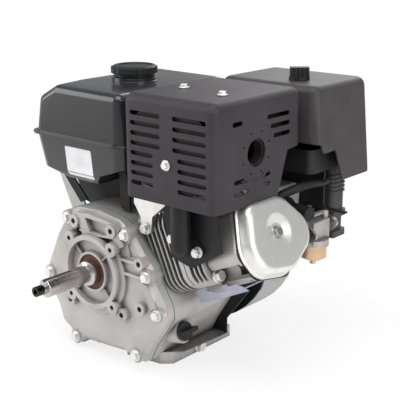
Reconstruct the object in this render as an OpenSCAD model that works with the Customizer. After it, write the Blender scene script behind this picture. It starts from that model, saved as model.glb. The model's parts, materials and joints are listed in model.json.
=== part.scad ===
// Small air-cooled petrol engine, one cylinder, horizontal output shaft.
// The origin is on the crank axis in the plane of the output-side mounting face.
// The shaft points along -Y, the cylinder leans up and out towards +X, and +Z is up.

/* [Base and crankcase] */
// Height of the crank axis above the base
shaft_height = 132; // [125:1:145]
// Depth of the bolt-on crankcase cover, mounting face to gasket
cover_depth = 32; // [28:1:40]
// Depth of the crankcase casting behind the gasket
case_depth = 128; // [124:1:136]
// Wall of the crankcase castings
case_wall = 8; // [6:0.5:9]
// Thickness of the base flanges
base_thick = 18; // [12:1:22]
// Distance of the base holes across the shaft
base_span_x = 195; // [190:1:200]
// Distance of the base holes along the shaft
base_span_y = 87; // [80:1:95]
// Diameter of the base holes
base_hole_d = 11; // [9:0.5:13]

/* [Output shaft] */
// Diameter of the keyed output shaft
shaft_d = 25.4; // [22:0.1:28]
// Length of the output shaft from the mounting face
shaft_len = 82; // [60:1:110]
// Width of the keyway
key_w = 6.35; // [5:0.05:8]
// Length of the keyway
key_len = 51; // [30:1:58]
// Diameter of the threaded end of the shaft
stub_d = 14; // [10:0.5:20]
// Length of the threaded end of the shaft
stub_len = 16; // [8:1:30]
// Bolt circle of the small tapped holes in the mounting face
pto_circle_d = 120; // [116:1:124]
// Diameter of the small tapped holes in the mounting face
pto_hole_d = 7; // [5:0.5:9]

/* [Crank train] */
// Diameter of the crankshaft journals
journal_d = 35; // [30:1:38]
// Throw of the crankpin, half of the stroke
crank_throw = 32; // [28:0.5:34]
// Diameter of the cylinder bore
bore_d = 88; // [80:1:90]
// Crank axis to deck of the cylinder
deck = 150; // [149:1:154]
// Angle of the cylinder above horizontal
cyl_angle = 24; // [20:1:28]
// Place of the cylinder axis along the shaft
cyl_y = 106; // [104:0.5:108]
// Height of the piston, crown to skirt
piston_h = 34; // [33:0.5:34]
// Number of teeth on the crank timing gear
crank_teeth = 24; // [20:2:24]

/* [Cylinder and head] */
// Distance from fin to fin
fin_pitch = 8.5; // [7:0.5:10]
// Thickness of one fin
fin_thick = 2.6; // [2:0.2:3.6]
// Height of the cylinder head, deck gasket to rocker cover
head_h = 94; // [88:1:96]
// Height of the rocker cover
valve_cover_h = 20; // [14:1:24]

/* [Flywheel and starter] */
// Diameter of the flywheel
flywheel_d = 208; // [180:2:214]
// Width of the flywheel rim
flywheel_w = 34; // [26:1:36]
// Number of fan blades
fan_blades = 20; // [12:1:24]
// Radius of the rope groove on the starter reel
reel_r = 55; // [50:1:58]
// Free travel of the starter grip
rope_travel = 800; // [500:10:1000]

/* [Tank, guard and air cleaner] */
// Width of the fuel tank across the shaft
tank_w = 188; // [170:1:190]
// Depth of the fuel tank along the shaft
tank_d = 232; // [200:1:236]
// Height of the tank seam above the crank axis
tank_seam_z = 184; // [180:1:190]
// Thickness of the tank shells
tank_wall = 2; // [1.5:0.5:3]
// Width of the muffler guard across the shaft
guard_w = 159; // [150:1:162]
// Depth of the muffler guard along the shaft
guard_d = 182; // [170:1:184]
// Height of the muffler guard
guard_h = 139; // [130:1:145]
// Sheet thickness of the muffler guard
guard_wall = 2; // [1.5:0.5:3]
// Width of the air cleaner cover across the shaft
cleaner_w = 168; // [150:1:172]
// Depth of the air cleaner cover along the shaft
cleaner_d = 130; // [110:1:134]
// Height of the air cleaner cover
cleaner_h = 137; // [125:1:140]

/* [Hidden] */
$fn = 48;
fit = 0.1;        // radial play of a turning or sliding fit
seat = 0.05;      // radial play of a bolt in its hole
joint_gap = 0.8;  // thickness of a flat gasket
fin_span = 144;   // size of the fins along the shaft
case_front = cover_depth + joint_gap;
case_back = case_front + case_depth;
base_z = -shaft_height;
foot_centre_x = -7.5;
foot_centre_y = 135.5;
head_s = deck + joint_gap;
rim_s = head_s + head_h;
cam_drop = 1.75 * crank_teeth * 1.5;   // distance of crank and cam axes
cam_place = [cam_drop * cos(-66), cam_drop * sin(-66)];
cam_gear_y = 37;
bearing_w = 17;
seal_d = 52;
main_bearing_d = 72;
wheel_y = case_back + 5;

// Outline of the crankcase joint, seen from the output side.
case_outline = [
    [-66, 76], [-40, 85], [2, 88], [44, 82], [70, 70], [88, 46], [108, 26], [113, 2],
    [131, -26], [133, -44], [100, -94], [88, -118], [70, -119], [58, -112], [22, -115],
    [-34, -119], [-42, -127], [-56, -126], [-66, -112], [-82, -104], [-90, -80],
    [-106, -56], [-113, -36], [-112, -16], [-102, 4], [-88, 34], [-70, 60]];
// Bolts of the cover, as x and z.
cover_bolt_places = [
    [101, 14], [120, -36], [62, 66], [-56, 68], [-100, -26], [78, -108], [-48, -116]];
// Outline of the rocker cover, as distance along the shaft and height across the cylinder.
rocker_corners = [[70, 11], [130, 11], [161, -24], [158, -40], [112, -64], [66, -56], [55, -34]];
rocker_bolt = [106, -22];
// Raised frame above the machined ring of the cover.
cover_frame = [[-36, 80], [-8, 84], [44, 79], [58, 70], [62, 50], [44, 40], [-24, 40], [-20, 54]];
ring_r = 54;
switch_place = [135, 89];
switch_depth = 22;

casing_posts = [[122, -44], [78, -106], [-46, -116], [-101, -56]];
bracket_foot = [84, 76];
taper_end = wheel_y + flywheel_w - 4;
pin_drop = 23;   // crown of the piston to its pin
port_place = [158.2, 68.5];
exhaust_face = (2 * cyl_y - fin_span) / 2;
intake_place = [214, 56];
intake_face = 184;
guard_from = [70, 3, 126];
guard_to = guard_from + [guard_w, guard_d, guard_h];
outlet = [guard_to[0], 85.3, 193];
pipe_d = 27;
pipe_turn = -15;
muffler_bottom = 144;
front_screw = [148.5, 179];
guard_screw_places = [[113.7, 76.7], [190.4, 63.8]];
spacer_len = 22;
carb_len = 56;
bowl_place = [8, spacer_len + 24];
carb_end = spacer_len + carb_len;
butterfly_places = [[-10, spacer_len + 12], [12, carb_end - 12]];
duct_w = 34;
duct_y = [carb_end + seat, carb_end + 32];
tray_floor = 140;
cleaner_from = [75, 195, 127];
cleaner_to = cleaner_from + [cleaner_w, cleaner_d, cleaner_h];
knob_place = [186, 236];
cleaner_wall = 2.5;
tank_from = [-133, 18];
tank_to = [tank_from[0] + tank_w, tank_from[1] + tank_d];
tank_middle = (tank_from + tank_to) / 2;
filler = [-31, 129];
filler_d = 46;   // outside of the filler neck
tank_top = 256;
tank_bottom = 122;
fan_front = 192;
fan_back = 258;
recoil_front = fan_back + 3;
recoil_depth = 50;
rope_d = 4;
rope_z = reel_r + rope_d / 2 + fit;
hose_end = [222, intake_face + duct_y[0] - 12, 119];
breather_route = [[202, 163, 108], [206, 170, 114], [217, 190, 121], [224, 214, 124],
    [224, 240, 121], hose_end - [0, 2.2, 0]];

// ---- shared shapes ----

// A flat shape drawn as x and z, made solid from y0 to y1.
module slab_y(y0, y1) {
    translate([0, y1, 0]) rotate([90, 0, 0]) linear_extrude(y1 - y0) children();
}

module rod_x(d, x0, x1) {
    translate([x0, 0, 0]) rotate([0, 90, 0]) cylinder(d = d, h = x1 - x0);
}

module rod_y(d, y0, y1) {
    translate([0, y1, 0]) rotate([90, 0, 0]) cylinder(d = d, h = y1 - y0);
}

module tube_y(d_out, d_in, y0, y1) {
    difference() {
        rod_y(d_out, y0, y1);
        rod_y(d_in, y0 - 1, y1 + 1);
    }
}

// A rectangle with true round corners, centred.
module round_rect(w, h, r) {
    square([w - 2 * r, h], center = true);
    square([w, h - 2 * r], center = true);
    for (x = [-1, 1])
        for (y = [-1, 1])
            translate([x * (w / 2 - r), y * (h / 2 - r)]) circle(r);
}

// A slot with round ends, drawn from the origin along x.
module slot_shape(len, w) {
    square([len, w]);
    translate([0, w / 2]) circle(w / 2);
    translate([len, w / 2]) circle(w / 2);
}

// Moves z onto the cylinder axis, x down across it and y along the shaft.
module on_cylinder() {
    translate([0, cyl_y, 0]) rotate([0, 90 - cyl_angle, 0]) children();
}

// A bolt with a hexagon and a flange; its head looks along -Y and sits on y_face.
module flange_bolt_y(x, z, y_face, d, reach) {
    translate([x, 0, z]) {
        rod_y(2.1 * d, y_face - 1.8, y_face);
        translate([0, y_face - 1.8, 0]) rotate([90, 0, 0]) cylinder(d = 1.6 * d, h = 5, $fn = 6);
        rod_y(d - 2 * seat, y_face - 2, y_face + reach);
    }
}

// A ring of teeth; the flanks are straight and each tooth is lean, for backlash.
module gear_shape(teeth, gear_module) {
    root_r = gear_module * (teeth / 2 - 1.2);
    tip_r = gear_module * (teeth / 2 + 0.85);
    step = 360 / teeth;
    polygon([for (i = [0 : teeth - 1])
        for (p = [[root_r, -0.36], [tip_r, -0.13], [tip_r, 0.13], [root_r, 0.36]])
            p[0] * [cos((i + p[1]) * step), sin((i + p[1]) * step)]]);
}

// A shell-like block with all its edges rounded.
module soft_block(from, to, r) {
    hull()
        for (x = [from[0] + r, to[0] - r])
            for (y = [from[1] + r, to[1] - r])
                for (z = [from[2] + r, to[2] - r])
                    translate([x, y, z]) sphere(r, $fn = 16);
}

// ---- crankcase ----

function inset(points, wall) = [for (p = points) p * (1 - wall / norm(p))];

module barrel_block() {
    on_cylinder() {
        translate([0, 0, 62]) linear_extrude(deck - 62) circle(d = bore_d + 16);
        translate([6, 0, 62]) linear_extrude(26) round_rect(118, 132, 16);
        for (s = [92 : fin_pitch : deck - 6])
            translate([6, 0, s]) linear_extrude(fin_thick) round_rect(118, fin_span, 26);
        translate([6, 0, deck - 6]) linear_extrude(6) round_rect(118, fin_span, 26);
    }
}

module foot(side, edge_x) {
    inner_x = side * 30;
    translate([0, 0, base_z]) linear_extrude(base_thick) polygon([
        [inner_x, 40], [edge_x - side * 14, 40 + 9], [edge_x, 62], [edge_x, 188],
        [inner_x, 188]]);
}

module base_holes() {
    for (x = [-1, 1])
        for (y = [-1, 1])
            translate([foot_centre_x + x * base_span_x / 2, foot_centre_y + y * base_span_y / 2, 0])
                translate([0, 0, base_z - 1]) cylinder(d = base_hole_d, h = base_thick + 30);
}

module crankcase() {
    color("silver") difference() {
        union() {
            slab_y(case_front, case_back) polygon(case_outline);
            slab_y(case_front, case_front + 12)
                for (p = cover_bolt_places) translate(p) circle(11);
            barrel_block();
            foot(1, 102);
            foot(-1, -117);
            filler_axis() translate([0, 0, -22]) cylinder(d = 34, h = 22);
            translate([-92, 116, -106]) cube([170, 40, 24]);
            for (p = casing_posts) translate([p[0], 0, p[1]]) rod_y(14, case_back - 12, fan_front - 4 - seat);
            translate([bracket_foot[0], 0, bracket_foot[1]]) rod_y(18, case_front, case_front + 20);
        }
        slab_y(case_front - 1, case_back - 18) polygon(inset(case_outline, case_wall + 2));
        on_cylinder() translate([0, 0, 20]) cylinder(d = bore_d, h = deck);
        rod_y(main_bearing_d, case_back - 18 - 1, case_back - 2);
        rod_y(journal_d + 4, case_back - 4, case_back + 1);
        rod_y(flywheel_d + 8, case_back + 2, case_back + 26);
        for (p = cover_bolt_places)
            translate([p[0], 0, p[1]]) rod_y(8, case_front - 1, case_front + 22);
        translate([bracket_foot[0], 0, bracket_foot[1]]) rod_y(8, case_front - 1, case_front + 18);
        translate([cam_place[0], 0, cam_place[1]]) rod_y(14 + 2 * fit, case_back - 19, case_back - 8);
        filler_axis() translate([0, 0, -40]) cylinder(d = 20, h = 60);
        base_holes();
        on_cylinder() head_bolt_holes(deck - 40, deck + 1);
        for (side = [-1, 1])
            translate([foot_centre_x + side * 89.5, foot_centre_y - 19, base_z + 9]) rod_x(10, -30, 30);
    }
}

// Axis of the oil filler, on the sloping wall above the foot.
module filler_axis() {
    translate([127, 56, -72]) rotate([0, 76, 0]) children();
}

// Posts that carry the fan casing, outside the sweep of the flywheel.

// Bolt places of the head, in the frame of the cylinder.
module head_bolt_holes(s0, s1) {
    for (x = [-46, 54])
        for (y = [-54, 54])
            translate([x, y, s0]) cylinder(d = 10, h = s1 - s0);
}

module ring_recess() {
    difference() {
        circle(ring_r - 7);
        circle(d = seal_d + 7);
    }
}

module crankcase_cover() {
    color("silver") difference() {
        union() {
            slab_y(20, cover_depth) polygon(case_outline);
            translate([0, 20, 0]) rotate([90, 0, 0]) linear_extrude(8, scale = 0.93) polygon(inset(case_outline, 1));
            for (p = cover_bolt_places) translate([p[0], 0, p[1]]) rod_y(22, 11, cover_depth);
            rod_y(2 * ring_r, 0, 20);
            rod_y(2 * ring_r + 18, 7, 20);
            for (a = [45 : 90 : 315])
                rotate([0, a, 0]) translate([pto_circle_d / 2, 0, 0]) rod_y(20, 0, 20);
            slab_y(7, 20) polygon(cover_frame);
            slab_y(8, 20) polygon([[98, 12], [112, -10], [122, -30], [112, -34], [102, -14], [90, 4]]);
            for (p = [[40, 68], [57, -51], [-50, -55], [-36, 68]])
                translate([p[0], 0, p[1]]) rod_y(19, 4, 20);
            for (p = [[92, 32], [92, -33]]) translate([p[0], 0, p[1]]) rod_y(17, 5, 20);
            for (z = [10, 29]) translate([50, 7, z]) cube([46, 12, 3.6]);
            tube_y(main_bearing_d + 16, main_bearing_d - 8, cover_depth - 1, cover_depth + 1);
        }
        slab_y(20, cover_depth + 2) difference() {
            polygon(inset(case_outline, case_wall + 2));
            circle(d = main_bearing_d + 16);
            translate(cam_place) circle(d = 26);
            for (p = cover_bolt_places) translate(p) circle(11);
        }
        slab_y(-1, 5) ring_recess();
        slab_y(4, 10) difference() {
            ring_recess();
            for (a = [45 : 90 : 315]) rotate(a) translate([30, -1]) square([18, 2]);
        }
        slab_y(-1, 3) circle(d = seal_d + 7.2);
        for (p = cover_bolt_places) translate([p[0], 0, p[1]]) rod_y(19, 2, 11);
        slab_y(-1, 15) difference() {
            polygon([[-14, 77], [30, 75.5], [34, 60], [19, 57], [-5, 58]]);
            translate([40, 68]) circle(11.5);
        }
        slab_y(-1, 16) difference() {
            union() {
                polygon([[-56, 42], [-34, 58], [-21, 54], [-24, 44], [-40, 36]]);
                polygon([[12, 54], [41, 56.5], [50, 46], [38, 34], [24, 44]]);
            }
            circle(ring_r + 1);
            for (x = [-1, 1]) translate([x, 1] * pto_circle_d / 2 / sqrt(2)) circle(11);
        }
        slab_y(-1, 14.5) polygon([[74, 60], [92, 38], [70, 36], [66, 52]]);
        rod_y(seal_d, -1, cover_depth - bearing_w - 1);
        rod_y(main_bearing_d, cover_depth - bearing_w, cover_depth + 2);
        rod_y(journal_d + 4, -2, cover_depth);
        for (a = [45 : 90 : 315])
            rotate([0, a, 0]) translate([pto_circle_d / 2, 0, 0]) rod_y(pto_hole_d, -1, 18);
        for (p = [[40, 68], [57, -51], [-50, -55], [-36, 68], [92, 32], [92, -33]])
            translate([p[0], 0, p[1]]) rod_y(8, 3, 18);
        for (p = cover_bolt_places) translate([p[0], 0, p[1]]) rod_y(8.4, 2, cover_depth + 2);
        translate([cam_place[0], 0, cam_place[1]]) rod_y(14 + 2 * fit, 24, cover_depth + 2);
    }
}

module cover_gasket() {
    color("seagreen") slab_y(cover_depth, case_front) difference() {
        polygon([for (p = case_outline) p * (1 + 0.6 / norm(p))]);
        difference() {
            polygon(inset(case_outline, case_wall + 2));
            for (p = cover_bolt_places) translate(p) circle(11);
        }
        for (p = cover_bolt_places) translate(p) circle(d = 8.4);
    }
}

module flange_bolts() {
    color("lightgray") {
        for (p = cover_bolt_places) flange_bolt_y(p[0], p[1], 11, 8, 40);
        flange_bolt_y(bracket_foot[0], bracket_foot[1], case_front - 3, 8, 18);
        recoil_bolt_places() {
            translate([0, recoil_front + 4, 0]) rotate([90, 0, 0]) cylinder(d = 10, h = 4, $fn = 6);
            rod_y(6 - 2 * seat, recoil_front - 12, recoil_front + 1);
        }
    }
}

module output_seal() {
    color("sienna") tube_y(seal_d - 2 * seat, journal_d + 2 * fit, 5, 13);
}

module crank_bearings() {
    color("silver") for (y = [cover_depth - bearing_w, case_back - 2 - bearing_w]) {
        tube_y(main_bearing_d - 2 * seat, main_bearing_d - 11, y, y + bearing_w);
        tube_y(main_bearing_d - 24, journal_d + 2 * seat, y, y + bearing_w);
        for (a = [0 : 40 : 320])
            rotate([0, a, 0]) translate([27.25, y + bearing_w / 2, 0]) sphere(d = 6.4);
    }
}

module crankshaft() {
    web_front = cyl_y - 36;
    web_back = cyl_y + 20;
    color("gainsboro") difference() {
        union() {
            translate([0, -shaft_len - stub_len, 0]) rod_y(stub_d, 0, stub_len + 1);
            translate([0, -shaft_len + 1.5, 0]) rotate([90, 0, 0]) cylinder(d1 = shaft_d, d2 = shaft_d - 3, h = 1.5);
            rod_y(shaft_d, -shaft_len + 1.5, 0);
            translate([0, -6, 0]) rotate([90, 0, 0]) cylinder(d1 = journal_d - 1, d2 = shaft_d, h = 3);
            rod_y(journal_d, -6, web_front);
            rod_y(journal_d, web_back + 14, case_back + 2);
            shaft_taper(0);
            rod_y(16, taper_end - 1, taper_end + 26);
            for (y = [web_front, web_back]) slab_y(y, y + 14) crank_web();
            rotate([0, -cyl_angle, 0]) translate([crank_throw, 0, 0]) rod_y(36, web_front + 2, web_back + 2);
            slab_y(cam_gear_y, cam_gear_y + 10) rotate(180 / crank_teeth - 66) gear_shape(crank_teeth, 1.75);
        }
        translate([0, -shaft_len - stub_len - 1, 0]) rod_y(7, 0, 12);
        translate([-key_w / 2, -shaft_len - 1, shaft_d / 2 - 3.4]) cube([key_w, key_len + 1, 6]);
    }
}

// Cone that carries the flywheel.
module shaft_taper(play) {
    translate([0, taper_end, 0]) rotate([90, 0, 0])
        cylinder(d1 = 24 + play, d2 = 30 + play, h = taper_end - case_back - 1);
}

// One crank web with its counterweight, drawn with the crankpin up the cylinder.
module crank_web() {
    intersection() {
        circle(50.6);
        rotate(cyl_angle) union() {
            translate([-60, -60]) square([56, 120]);
            translate([-10, -24]) square([54, 48]);
            translate([crank_throw, 0]) circle(19);
        }
    }
}

module camshaft() {
    color("darkgray") translate([cam_place[0], 0, cam_place[1]]) {
        rod_y(14, 25, case_back - 9);
        difference() {
            slab_y(cam_gear_y, cam_gear_y + 10) rotate(-66) gear_shape(2 * crank_teeth, 1.75);
            for (a = [0 : 60 : 300])
                rotate([0, a, 0]) translate([24, 0, 0]) rod_y(12, cam_gear_y - 1, cam_gear_y + 11);
        }
        for (lobe = [[50, 200], [60, 95]]) slab_y(lobe[0], lobe[0] + 8) {
            circle(10);
            rotate(lobe[1]) translate([5.5, 0]) circle(7.5);
        }
    }
}

module piston() {
    top = deck - 0.5;
    color("lightgray") on_cylinder() difference() {
        translate([0, 0, top - piston_h]) cylinder(d = bore_d - 2 * fit, h = piston_h);
        translate([0, 0, top - piston_h - 1]) cylinder(d = bore_d - 12, h = piston_h - 7);
        for (s = [5, 10, 15]) translate([0, 0, top - s - 2]) difference() {
            cylinder(d = bore_d + 2, h = 2);
            translate([0, 0, -1]) cylinder(d = bore_d - 7, h = 4);
        }
        translate([0, 0, top - pin_drop]) rod_y(20, -60, 60);
    }
}

module piston_pin_and_rings() {
    color("gainsboro") {
        on_cylinder() translate([0, 0, deck - 0.5 - pin_drop]) difference() {
            rod_y(20 - 2 * seat, -39, 39);
            rod_y(12, -50, 50);
        }
        on_cylinder() for (s = [5, 10, 15]) translate([0, 0, deck - 0.5 - s - 1.95]) difference() {
            cylinder(d = bore_d - 2 * fit, h = 1.9);
            translate([0, 0, -1]) cylinder(d = bore_d - 6.9, h = 4);
        }
    }
}

// ---- cylinder head ----

// Outline of the rocker box in the frame of the cylinder, grown by a rim width.
module rocker_shape(rim) {
    hull() for (p = rocker_corners)
        translate([-p[1], p[0] - cyl_y]) circle(16 + rim, $fn = 32);
}

module cylinder_head() {
    color("silver") difference() {
        union() {
            on_cylinder() {
                translate([6, 0, head_s]) linear_extrude(8) round_rect(118, fin_span - 1, 26);
                translate([2, 0, head_s]) linear_extrude(44) round_rect(84, 96, 20);
                for (s = [head_s + 14 : fin_pitch : head_s + 36])
                    translate([6, 0, s]) linear_extrude(fin_thick) round_rect(118, fin_span - 1, 26);
                translate([0, 0, head_s + 36]) linear_extrude(head_h - 36) rocker_shape(-2);
                translate([0, 0, rim_s - 5]) linear_extrude(5) rocker_shape(1);
                for (x = [-46, 54])
                    for (y = [-54, 54]) translate([x, y, head_s]) cylinder(d = 21, h = 36);
                translate([62, -34, head_s + 30]) cylinder(d = 24, h = head_h - 46);
            }
            difference() {
                union() {
                    exhaust_axis() rod_y(38, 0, 30);
                    exhaust_axis() stud_places() rod_y(16, 0, 30);
                }
                on_cylinder() translate([-100, -100, 0]) cube([200, 200, head_s]);
            }
            intake_axis() rod_y(38, -44, 0);
            intake_axis() stud_places() rod_y(15, -44, 0);
            plug_axis() translate([0, 0, -24]) cylinder(d = 30, h = 24);
            hose_nipple() cylinder(d = 7, h = 22);
        }
        on_cylinder() {
            translate([0, 0, head_s - 1]) cylinder(d = bore_d - 2, h = 5);
            translate([0, 0, rim_s - 26]) linear_extrude(30) rocker_shape(-9);
            head_bolt_holes(head_s - 1, head_s + 60);
            for (x = [-46, 54])
                for (y = [-54, 54]) translate([x, y, head_s + 36]) cylinder(d = 23, h = 60);
            translate([-100, -100, 0]) cube([200, 200, head_s]);
        }
        exhaust_axis() rod_y(28, -2, 40);
        intake_axis() rod_y(26, -46, 2);
        exhaust_axis() stud_places() rod_y(8, -1, 18);
        intake_axis() stud_places() rod_y(6, -18, 1);
        plug_axis() translate([0, 0, -20]) cylinder(d = 14, h = 40);
        plug_axis() cylinder(d = 26, h = 16);
    }
}

// Places the exhaust port on the front face of the head.
module exhaust_axis() {
    translate([port_place[0], exhaust_face, port_place[1]]) children();
}

// Places the intake port on the rear face of the head.
module intake_axis() {
    translate([intake_place[0], intake_face, intake_place[1]]) children();
}

// Two studs on the slanting line across a port.
module stud_places() {
    for (side = [-1, 1]) translate([side * 21, 0, -side * 5]) children();
}

// Breather nipple on the slanting rear wall of the rocker box.
module hose_nipple() {
    on_cylinder() translate([-4, 45, 228]) rotate([0, 0, -41]) rotate([-90, 0, 0]) children();
}

// Spark plug seat on the upper rear corner of the head.
module plug_axis() {
    translate([198, 165, 84]) rotate([-75, 0, 0]) children();
}

module head_gasket() {
    color("dimgray") on_cylinder() translate([0, 0, deck]) difference() {
        translate([6, 0, 0]) linear_extrude(joint_gap) round_rect(118, fin_span, 26);
        translate([0, 0, -1]) cylinder(d = bore_d + 2, h = 3);
        head_bolt_holes(-1, 2);
    }
}

module head_bolts() {
    color("lightgray") on_cylinder()
        for (x = [-46, 54])
            for (y = [-54, 54]) translate([x, y, head_s + 36]) {
                cylinder(d = 20, h = 2.4);
                translate([0, 0, 2]) cylinder(d = 15.5, h = 6.4, $fn = 6);
                translate([0, 0, -70]) cylinder(d = 10 - 2 * seat, h = 71);
            }
}

module valve_cover_gasket() {
    color("black") on_cylinder() translate([0, 0, rim_s]) linear_extrude(1.6) difference() {
        rocker_shape(2);
        rocker_shape(-6);
    }
}

module valve_cover() {
    seat_s = rim_s + 1.6;
    color("lightgray") on_cylinder() difference() {
        union() {
            translate([0, 0, seat_s]) linear_extrude(2) rocker_shape(1);
            hull() {
                translate([0, 0, seat_s + 2]) linear_extrude(4) rocker_shape(-4);
                translate([2, 4, seat_s + valve_cover_h - 3]) linear_extrude(3) rocker_shape(-14);
            }
        }
        hull() {
            translate([0, 0, seat_s - 1]) linear_extrude(6) rocker_shape(-6);
            translate([2, 4, seat_s + valve_cover_h - 7]) linear_extrude(4) rocker_shape(-16);
        }
        translate([-rocker_bolt[1], 0, seat_s + valve_cover_h - 6]) cylinder(r1 = 12, r2 = 27, h = 6.2);
        translate([-rocker_bolt[1], 0, rim_s - 20]) cylinder(d = 8.4, h = 60);
    }
}

module valve_cover_bolt() {
    face = rim_s + 1.6 + valve_cover_h - 6;
    color("lightgray") on_cylinder() translate([-rocker_bolt[1], 0, face]) {
        cylinder(d = 17, h = 1.6);
        translate([0, 0, 1.5]) cylinder(d = 13, h = 5, $fn = 6);
        translate([0, 0, -24]) cylinder(d = 8, h = 25);
        translate([0, 0, -38]) cylinder(d = 13, h = 15);
    }
}

// ---- exhaust ----

module exhaust_pipe() {
    color([0.13, 0.12, 0.13]) exhaust_axis() difference() {
        union() {
            hull() {
                rod_y(34, -5, 0);
                stud_places() rod_y(16, -5, 0);
            }
            translate([0, pipe_turn, 0]) rod_y(pipe_d, 0, 12);
            translate([0, pipe_turn, 0]) sphere(d = pipe_d);
            translate([0, pipe_turn, 0]) cylinder(d = pipe_d, h = muffler_bottom - port_place[1] - seat);
        }
        translate([0, pipe_turn, 0]) rod_y(pipe_d - 4, 0, 20);
        translate([0, pipe_turn, 0]) cylinder(d = pipe_d - 4, h = 90);
        translate([0, pipe_turn, 0]) sphere(d = pipe_d - 4);
        stud_places() rod_y(8.4, -7, 1);
    }
}

module exhaust_nuts() {
    color("lightgray") exhaust_axis() stud_places() {
        rod_y(8 - 2 * seat, -15, 16);
        difference() {
            translate([0, -6.6, 0]) rotate([90, 0, 0]) cylinder(d = 13, h = 6.5, $fn = 6);
            rod_y(8 - 2 * seat, -20, 0);
        }
        tube_y(15, 8 - 2 * seat, -6.6, -5);
    }
}

module exhaust_shield() {
    color([0.12, 0.12, 0.13]) difference() {
        slab_y(exhaust_face - 1.15, exhaust_face - seat) polygon([
            [112, 118], [116, 92], [128, 44], [164, 36], [217, 69], [206, 118]]);
        exhaust_axis() hull() {
            rod_y(36, -3, 10);
            stud_places() rod_y(18, -3, 10);
        }
    }
}

module muffler() {
    middle = [149, muffler_bottom + 52];
    top = muffler_bottom + 104;
    color([0.25, 0.24, 0.24]) difference() {
        union() {
            translate([middle[0], 0, middle[1]]) slab_y(7.5, 160) round_rect(130, 104, 34);
            translate([outlet[0] - 24, outlet[1], outlet[2]]) rod_x(36, 0, 21);
            for (p = guard_screw_places)
                translate([p[0], p[1], top - 2]) cylinder(d = 12, h = guard_to[2] - guard_wall - top + 1.7);
        }
        translate([middle[0], 0, middle[1]]) slab_y(9.5, 158) round_rect(126, 100, 32);
        translate([outlet[0] - 40, outlet[1], outlet[2]]) rod_x(31, 0, 40);
        translate([port_place[0], exhaust_face + pipe_turn, 130]) cylinder(d = 25, h = 30);
        for (p = guard_screw_places) translate([p[0], p[1], top - 4]) cylinder(d = 6.1, h = 30);
        translate([front_screw[0], 0, front_screw[1]]) rod_y(6.1, 0, 20);
    }
}

module guard_slots() {
    y0 = guard_from[1];
    for (i = [0 : 7]) {
        z = 237 - i * 13.2;
        long = i > 3 ? 34 : 47;
        translate([0, y0 - 1, z]) rotate([90, 0, 0]) translate([0, 0, -6]) linear_extrude(6) {
            translate([88, 0]) slot_shape(long, 6);
            translate([i > 3 ? 170 : 162, 0]) slot_shape(i > 3 ? 42 : 50, 6);
        }
    }
}

module guard_side_slots() {
    for (p = [[110, 232, 42], [117, 219, 36], [124, 206, 30], [40, 232, 14],
            [44, 158, 22], [43, 143, 24], [100, 158, 12], [100, 145, 12]])
        translate([guard_to[0] - 4, p[0], p[1]]) rotate([90, 0, 90]) linear_extrude(8) slot_shape(p[2], 6);
    for (a = [22.5 : 45 : 337.5])
        translate([guard_to[0] - 4, outlet[1] + 28 * cos(a), outlet[2] + 28 * sin(a)]) rod_x(3, 0, 8);
}

module muffler_guard() {
    inner_from = guard_from + [guard_wall, guard_wall, -30];
    inner_to = guard_to - [guard_wall, guard_wall, guard_wall];
    color([0.28, 0.25, 0.26]) difference() {
        soft_block(guard_from - [0, 0, 14], guard_to, 14);
        soft_block(inner_from, inner_to, 12);
        translate([0, -10, guard_from[2] - 40]) cube([300, 220, 40]);
        translate([guard_from[0] - 10, 0, 0]) rotate([90, 0, 90]) linear_extrude(guard_w + 20)
            polygon([[130, 120], [147, 171], [152, 185], [190, 188], [190, 120]]);
        guard_slots();
        guard_side_slots();
        translate([outlet[0] - 8, outlet[1], outlet[2]]) rod_x(36.6, 0, 20);
        for (p = guard_screw_places) translate([p[0], p[1], guard_to[2] - 4]) cylinder(d = 6.4, h = 8);
        translate([front_screw[0], 0, front_screw[1]]) rod_y(6.4, 0, 10);
    }
}

module guard_screws() {
    color("lightgray") {
        for (p = guard_screw_places) translate([p[0], p[1], guard_to[2]]) {
            cylinder(d = 14, h = 1.2);
            translate([0, 0, 1]) cylinder(d = 10, h = 4, $fn = 6);
            translate([0, 0, -16]) cylinder(d = 6, h = 17);
        }
        translate([front_screw[0], guard_from[1], front_screw[1]]) {
            rod_y(14, -1.2, 0);
            translate([0, -1, 0]) rotate([90, 0, 0]) cylinder(d = 10, h = 4, $fn = 6);
            rod_y(6, 0, 15);
        }
    }
}

module muffler_bracket() {
    back = case_front;
    color([0.86, 0.88, 0.86]) {
        difference() {
            slab_y(back - 3, back) {
                translate(bracket_foot) circle(9);
                polygon([[75, 76], [93, 76], [96, 94], [122, 116], [122, muffler_bottom - seat],
                    [77, muffler_bottom - seat], [77, 124], [62, 122], [62, 108], [74, 90]]);
            }
            translate([bracket_foot[0], 0, bracket_foot[1]]) rod_y(8.4, 10, 60);
        }
        translate([77, back - 0.1, muffler_bottom - 3 - seat]) cube([45, 36, 3]);
    }
}

// ---- intake ----

module insulator() {
    color("dimgray") intake_axis() difference() {
        hull() {
            rod_y(34, 0, spacer_len);
            stud_places() rod_y(14, 0, spacer_len);
        }
        rod_y(26, -1, spacer_len + 1);
        stud_places() rod_y(6.4, -1, spacer_len + 1);
    }
}

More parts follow.
